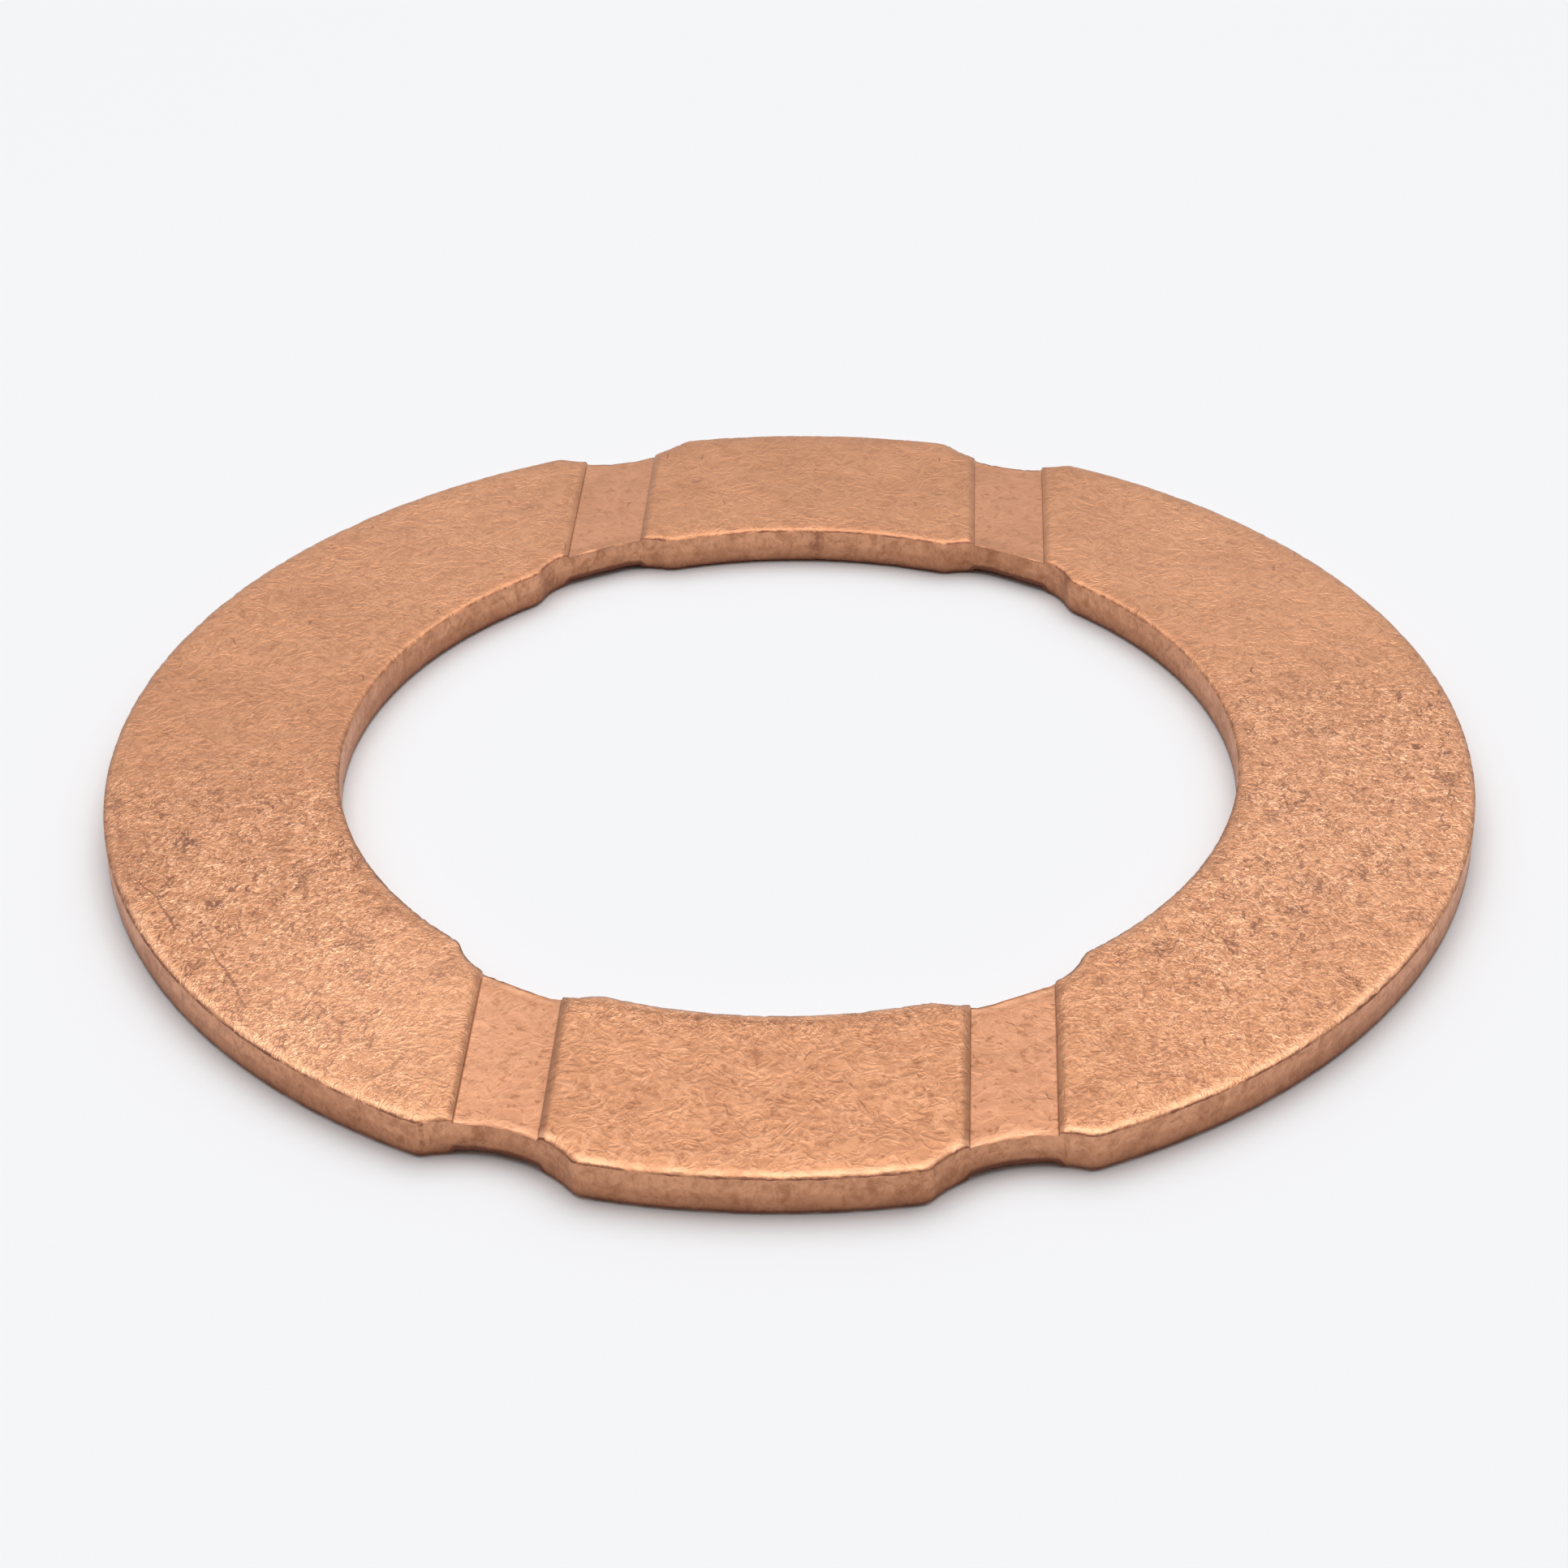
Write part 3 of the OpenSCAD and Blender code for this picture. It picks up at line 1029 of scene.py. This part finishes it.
        # Rubbed crests and strokes, brightened with a painted highlight
        rubbed_and_highlight = self.fine["Crest"] * vigour * look.crest
        self.rubbed_and_highlight = rubbed_and_highlight.most(self.strokes * look.strokes)
        self.stain("crest", self.rubbed_and_highlight)
        # Dashes of painted highlight, strongest at the front
        self.stain("crest", self.dashes * look.dashes)
        self.stain("tarnish", self.broad["Furrow"] * look.blotch)
        self.stain("crest", self.broad["Crest"] * look.sheen)
        self.stain("speck", self.marks * look.mark)
        # Grime in the spots; on a wall, painted shade down the creases of the front noses too
        grime_and_shade = place.noise(1 / look.stain, 2.0, 0.6)
        grime_and_shade = grime_and_shade.ramp(0.44, 0.6, 0.45 * look.stained, look.stained)
        self.stain("speck", grime_and_shade * self.spots)
        for centre, radius, lighter in look.tones:
            colour = "crest" if lighter > 0 else "tarnish"
            self.stain(colour, self.spot(centre, radius) * abs(lighter))

    def colour_edges(self):
        """A face is browner beside the channels with painted shade, and beside the bore with
        tarnish and painted shade; where it rolls over it carries a painted highlight and rubbed
        wear, and the jagged line where it meets the wall is dark with painted shade and dirt."""
        look, slow, y = self.look, self.slow, self.y
        edge_gap, channel_gap = (
            self.graph.value("ShaderNodeAttribute", output="Fac", attribute_name=name)
            for name in ("edge_gap", "channel_gap")
        )
        # Painted shade beside a channel, fainter towards the back
        self.stain("tarnish", channel_gap.ramp(*SHOULDER_BAND, look.shoulder, 0.0) * self.back)
        # Tarnish and painted shade beside the bore
        brown = self.graph.math("LESS_THAN", self.reach, MIDDLE_RADIUS) * look.bore
        brown *= edge_gap.ramp(*BROWN_BAND, 1.0, 0.0)
        self.stain("tarnish", brown * slow.ramp(0.3, 0.6, 0.5, 1.0))
        # A painted highlight and rubbed wear on the rolled edge, strongest at the front
        bright = edge_gap.ramp(*RUB_HIGHLIGHT_START) * edge_gap.ramp(*RUB_HIGHLIGHT_END, look.rub, 0.0)
        bright *= slow.ramp(0.36, 0.6, 0.25, 1.0)
        self.stain("crest", bright * y.ramp(*RUB_HIGHLIGHT_FADE, 1.0, 0.2))
        # Painted shade and dirt in the jagged line where the roll meets the wall, strongest at
        # front and back
        line = (edge_gap + self.quick * LINE_SHIFT).ramp(*LINE_BAND, look.line, 0.0)
        line *= slow.ramp(0.35, 0.55, 0.35, 1.0)
        self.stain("speck", line * abs(abs(y) - FAINTEST).ramp(*FAINT_BAND, 0.3, 1.0))

    def colour_wall(self):
        """A wall is torn in its lower part and streaked all over; it has painted shade near its
        foot and a painted contact shadow at its foot, which rises under the webs.
        """
        look, z = self.look, self.z
        height = z + (self.slow - 0.5) * SHADE_SHIFT
        self.stain("tarnish", height.ramp(*TORN_BAND, look.torn, 0.0))
        streaks = self.place.by((1.0, 1.0, 0.75)).noise(STREAK_SCALE, 4.0, 0.65, 1.0)
        self.stain("tarnish", streaks.ramp(0.48, 0.7, 0.0, look.streak))
        # Painted shade over the lowest millimetre of a wall
        self.stain("speck", height.ramp(*SHADE_BAND, 0.6 * look.foot, 0.0))
        # A painted contact shadow at the foot, rising to paint the shadow gap under a web
        web = abs(abs(self.x) - CHANNEL_MIDDLE)
        height = z - web.ramp(*WEB_EDGE, WEB_LIFT, 0.0)
        height = self.graph.math("MULTIPLY_ADD", self.quick, FOOT_SHIFT, height)
        self.stain("speck", height.ramp(*FOOT_BAND, look.foot, 0.0))

    def feed_shader(self):
        """Sets the shader. The height of the relief is a real height, in metres."""
        graph, look = self.graph, self.look
        rough = self.tarnish * ROUGH_TARNISH + look.rough
        rough += (self.grain - 0.5) * ROUGH_GRAIN
        rough = graph.math("SUBTRACT", rough, self.rubbed_and_highlight * SMOOTH_RUB, clamp=True)
        relief = self.fine["Height"] * self.vigour * look.fine_height
        relief += self.broad["Height"] * look.broad_height
        relief += (self.strokes - self.creases) * look.stroke_height
        relief += self.grain * look.grain_height
        bump = graph.value("ShaderNodeBump", {"Height": relief, "Strength": 1.0, "Distance": 1.0})
        feeds = {"Base Color": self.tint, "Metallic": 1.0, "Roughness": rough, "Normal": bump}
        for name, value in feeds.items():
            graph.feed(self.shader.inputs[name], value)


# Sizes of the patterns, then how strong each is, from 0 to 1, then the heights of the relief
FACE_LOOK = {
    "colour": "face",
    "wrinkle": 0.82 * MM,
    "squiggle": 1.6 * MM,
    "stroke": 0.95 * MM,
    "dash": 1.5 * MM,
    "crack": 1.4 * MM,
    "crease": 1.0 * MM,
    "grain": 0.12 * MM,
    "patch": 2.2 * MM,
    "fleck": 0.85 * MM,
    "speck": 0.3 * MM,
    "cluster": 2.6 * MM,
    "stain": 0.6 * MM,
    "hair_cell": 2.6 * MM,
    "scratches": FACE_SCRATCHES,
    "spots": FACE_SPOTS,
    "tones": FACE_TONES,
    "back": 0.28,
    "middle": 0.22,
    "beside": 0.8,
    "tarnish": 0.22,
    "flecks": 0.75,
    "back_flecks": 0.45,
    "patches": 0.22,
    "specks": 0.2,
    "hairs": 0.45,
    # Below, painted highlights brighten strokes, dashes and crests, and painted shade darkens
    # creases and furrows
    "strokes": 0.8,
    "dashes": 0.35,
    "creases": 0.9,
    "cracks": 0.48,
    "stained": 0.32,
    "furrow": 0.55,
    "crest": 0.36,
    "blotch": 0.08,
    "sheen": 0.12,
    "mark": 0.74,
    # Next: painted shade by the bore and a channel, a painted highlight on a roll, painted shade at
    # the edge line
    "bore": 0.5,
    "shoulder": 0.3,
    "rub": 0.6,
    "line": 0.85,
    "foot": 0.0,
    "rough": 0.36,
    "fine_height": 0.02 * MM,
    "broad_height": 0.02 * MM,
    "stroke_height": 0.012 * MM,
    "grain_height": 0.003 * MM,
}
CHANNEL_LOOK = FACE_LOOK | {
    "colour": "channel",
    "fleck": 0.7 * MM,
    "scratches": (),
    "spots": (),
    "middle": 0.3,
    "beside": 0.3,
    "tarnish": 0.15,
    "flecks": 0.85,
    "specks": 0.5,
    "hairs": 0.25,
    "strokes": 0.25,
    "dashes": 0.25,
    "creases": 0.3,
    "cracks": 0.05,
    "furrow": 0.2,
    "crest": 0.15,
    "shoulder": 0.0,
    "rub": 0.5,
    "line": 0.5,
    "rough": 0.34,
    "fine_height": 0.006 * MM,
    "broad_height": 0.008 * MM,
    "stroke_height": 0.002 * MM,
}
WALL_LOOK = FACE_LOOK | {
    "colour": "wall",
    "patch": 1.6 * MM,
    "scratches": (),
    "spots": WALL_SPOTS,
    "tones": (),
    "back": 1.0,
    "middle": 1.0,
    "tarnish": 0.6,
    "flecks": 0.6,
    "back_flecks": 0.9,
    "specks": 0.45,
    "hairs": 0.0,
    "strokes": 0.1,
    "creases": 0.0,
    "cracks": 0.0,
    "stained": 0.7,
    "furrow": 0.15,
    "crest": 0.1,
    "sheen": 0.1,
    "bore": 0.0,
    "shoulder": 0.0,
    "rub": 0.0,
    "line": 0.0,
    # The painted shade and the painted contact shadow at the foot of a wall
    "foot": 0.9,
    "torn": 0.35,
    "streak": 0.6,
    "rough": 0.46,
    "fine_height": 0.005 * MM,
    "broad_height": 0.012 * MM,
    "stroke_height": 0.001 * MM,
}


def stored_colours():
    """The colours of the finishes by name."""
    settings = bpy.context.scene.ring_colours
    return {name: tuple(getattr(settings, name)) for name in FinishColours.__annotations__}


def copper_finishes():
    """The three finishes of the ring, from one set of shared groups."""
    groups = {
        "wrinkles": wrinkle_group(),
        "tarnish": tarnish_group(),
        "specks": speck_group(),
        "short_scratches": short_scratch_group(),
        "line_scratch": line_scratch_group(),
        "broken_lines": broken_line_group(),
        "spot": spot_group(),
        "grain": grain_group(),
    }
    colours = stored_colours()
    looks = {"coined_face": FACE_LOOK, "channel_floor": CHANNEL_LOOK, "sheared_wall": WALL_LOOK}
    return [
        CopperFinish(name, groups, colours, SimpleNamespace(**look)).material
        for name, look in looks.items()
    ]


def apply_tree(piece, tree, values):
    """Runs a geometry tree on a piece with these inputs, and keeps the result as its mesh."""
    modifier = piece.modifiers.new("Coining", "NODES")
    modifier.node_group = tree
    sockets = {
        item.name: item.identifier
        for item in tree.interface.items_tree
        if item.item_type == "SOCKET" and item.in_out == "INPUT"
    }
    for name, value in values.items():
        modifier[sockets[name]] = value
    depsgraph = bpy.context.evaluated_depsgraph_get()
    shaped = bpy.data.meshes.new_from_object(piece.evaluated_get(depsgraph), depsgraph=depsgraph)
    piece.modifiers.remove(modifier)
    piece.data = shaped


class ADDRING_OT_ring(bpy.types.Operator):
    """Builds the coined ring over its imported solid"""

    bl_idname = "add_ring.ring"
    bl_label = "Coined ring"

    def execute(self, context):
        sizes, wear = context.scene.ring_sizes, context.scene.ring_wear
        face, channel, wall = copper_finishes()
        ring = bpy.data.objects.new("coined_ring", blank_mesh(sizes))
        context.scene.collection.objects.link(ring)
        values = {"Seed": wear.seed, "Face": face, "Channel": channel, "Wall": wall}
        for settings, fields in ((sizes, SIZE_INPUTS), (wear, WEAR_INPUTS)):
            values |= {socket_name(field): getattr(settings, field) for field in fields}
        apply_tree(ring, coining_tree(), values)
        ring.data.name = "coined_ring"
        if not ring.data.polygons:
            raise RuntimeError("the coining left no mesh")
        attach(ring, BODY)
        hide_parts(CAD_NODE)
        return {"FINISHED"}


class ADDRING_OT_stage(bpy.types.Operator):
    """Adds the pale floor, the lamps and the camera"""

    bl_idname = "add_ring.stage"
    bl_label = "Studio stage"

    def execute(self, context):
        settings = context.scene.ring_stage
        add_floor(context)
        add_world(context, settings)
        add_lamps(context, settings)
        add_camera(context, settings)
        context.scene.view_settings.view_transform = "Standard"
        return {"FINISHED"}


FLOOR_HALF = 3.0
FLOOR_CORNERS = ((-1, -1), (1, -1), (1, 1), (-1, 1))
FLOOR_GAP = 0.02 * MM
# How fine the floor's faint clouds are, per metre, and how bright the darkest of them is
CLOUD_SCALE = 14.0
CLOUD_SHADE = 0.995
# The floor is a little darker towards the lamp, so that it looks level
SWEEP_BAND = (-250 * MM, 300 * MM)
SWEEP_LEVELS = (1.06, 0.935)
# Between these distances it fades into the backdrop, so that no horizon shows from the sides
FLOOR_FADE = (250 * MM, 650 * MM)


def add_floor(context):
    """A wide pale floor just under the ring."""
    mesh = bpy.data.meshes.new("studio_floor")
    corners = [(x * FLOOR_HALF, y * FLOOR_HALF, -FLOOR_GAP) for x, y in FLOOR_CORNERS]
    mesh.from_pydata(corners, [], [(0, 1, 2, 3)])
    material, graph, shader = new_material("studio_floor")
    place = graph.value("ShaderNodeTexCoord", output="Object")
    pale = context.scene.ring_colours.floor
    darker = [CLOUD_SHADE * part for part in pale]
    cloudy = graph.blend(place.noise(CLOUD_SCALE), rgba(pale), rgba(darker))
    level = place.parts()[1].ramp(*SWEEP_BAND, *SWEEP_LEVELS)
    graph.feed(shader.inputs["Base Color"], cloudy.scaled(level))
    graph.feed(shader.inputs["Roughness"], 0.9)
    graph.feed(shader.inputs["Specular IOR Level"], 0.0)
    graph.feed(shader.inputs["Alpha"], place.measured("LENGTH").ramp(*FLOOR_FADE, 1.0, 0.0))
    mesh.materials.append(material)
    floor = bpy.data.objects.new("studio_floor", mesh)
    context.scene.collection.objects.link(floor)


# How high above the horizon its glow starts and ends, from 0 to 1
GLOW_BAND = (0.1, 0.8)


def add_world(context, settings):
    """Even ambient light, and a pale background for the camera and for reflections."""
    world = bpy.data.worlds.new("studio_world")
    world.use_nodes = True
    context.scene.world = world
    graph = Tree(world.node_tree)
    world.node_tree.nodes.clear()
    path = graph.named(graph.add("ShaderNodeLightPath"))
    seen = path["Is Camera Ray"].most(path["Is Glossy Ray"]).most(path["Is Transmission Ray"])
    _, back, high = graph.value("ShaderNodeTexCoord", output="Generated").parts()
    light = graph.math("MULTIPLY_ADD", back, settings.tilt, 1.0)
    light *= graph.math("POWER", high.most(0.0), settings.overhead)
    # A level face stays as bright, however much of the light comes from above
    light *= settings.sky * (1 + settings.overhead / 2)
    ambient = graph.value("ShaderNodeBackground", {0: rgba((1.0, 1.0, 1.0)), 1: light})
    level = high.ramp(*GLOW_BAND, settings.horizon, 1.0)
    level = graph.between(path["Is Camera Ray"], level, 1.0)
    feeds = {0: rgba(context.scene.ring_colours.floor), 1: level}
    pale = graph.value("ShaderNodeBackground", feeds)
    mixed = graph.value("ShaderNodeMixShader", {0: seen, 1: ambient, 2: pale})
    graph.add("ShaderNodeOutputWorld", {0: mixed})


def add_lamps(context, settings):
    """One wide softbox overhead, a little behind the ring."""
    lamp = bpy.data.lights.new("softbox_overhead", "AREA")
    lamp.shape = "SQUARE"
    lamp.size = settings.lamp_width
    lamp.energy = settings.lamp_level * math.pi * settings.lamp_width**2
    box = bpy.data.objects.new("softbox_overhead", lamp)
    box.location = (0.0, settings.lamp_back, settings.lamp_height)
    context.scene.collection.objects.link(box)


SENSOR_WIDTH = 36.0
CLIP_START = 0.01


def add_camera(context, settings):
    """The camera, at the photograph's place and angle."""
    camera = bpy.data.cameras.new("photo_camera")
    camera.lens = settings.lens
    camera.sensor_width = SENSOR_WIDTH
    camera.sensor_fit = "HORIZONTAL"
    camera.clip_start = CLIP_START
    camera.dof.use_dof = False
    eye = bpy.data.objects.new("photo_camera", camera)
    turn, rise = settings.camera_azimuth, settings.camera_elevation
    place = settings.camera_distance * Vector(
        (math.sin(turn) * math.cos(rise), -math.cos(turn) * math.cos(rise), math.sin(rise))
    )
    aim = Vector((settings.aim_x, settings.aim_y, 0.0))
    facing = (aim - place).to_track_quat("-Z", "Y").to_matrix()
    facing = facing @ Matrix.Rotation(settings.camera_roll, 3, "Z")
    eye.matrix_world = Matrix.Translation(place) @ facing.to_4x4()
    context.scene.collection.objects.link(eye)
    context.scene.camera = eye


class ADDRING_PT_panel(bpy.types.Panel):
    """Lists the steps and their settings"""

    bl_idname = "ADDRING_PT_panel"
    bl_label = "Wear ring"
    bl_space_type = "VIEW_3D"
    bl_region_type = "UI"
    bl_category = "Wear ring"

    def draw(self, context):
        for step in STEPS:
            self.layout.operator(step.bl_idname)
        for name, group in SETTINGS.items():
            box = self.layout.box()
            for field in group.__annotations__:
                box.prop(getattr(context.scene, name), field)


STEPS = (ADDRING_OT_ring, ADDRING_OT_stage)
SETTINGS = {
    "ring_sizes": RingSizes,
    "ring_wear": WearSettings,
    "ring_colours": FinishColours,
    "ring_stage": StageSettings,
}


def register():
    for group in (*SETTINGS.values(), *STEPS, ADDRING_PT_panel):
        bpy.utils.register_class(group)
    for name, group in SETTINGS.items():
        setattr(bpy.types.Scene, name, PointerProperty(type=group))


def unregister():
    for name in SETTINGS:
        delattr(bpy.types.Scene, name)
    for group in reversed((*SETTINGS.values(), *STEPS, ADDRING_PT_panel)):
        bpy.utils.unregister_class(group)


def main():
    """Builds the whole scene."""
    register()
    bpy.ops.add_ring.ring()
    bpy.ops.add_ring.stage()


if __name__ == "__main__":
    main()
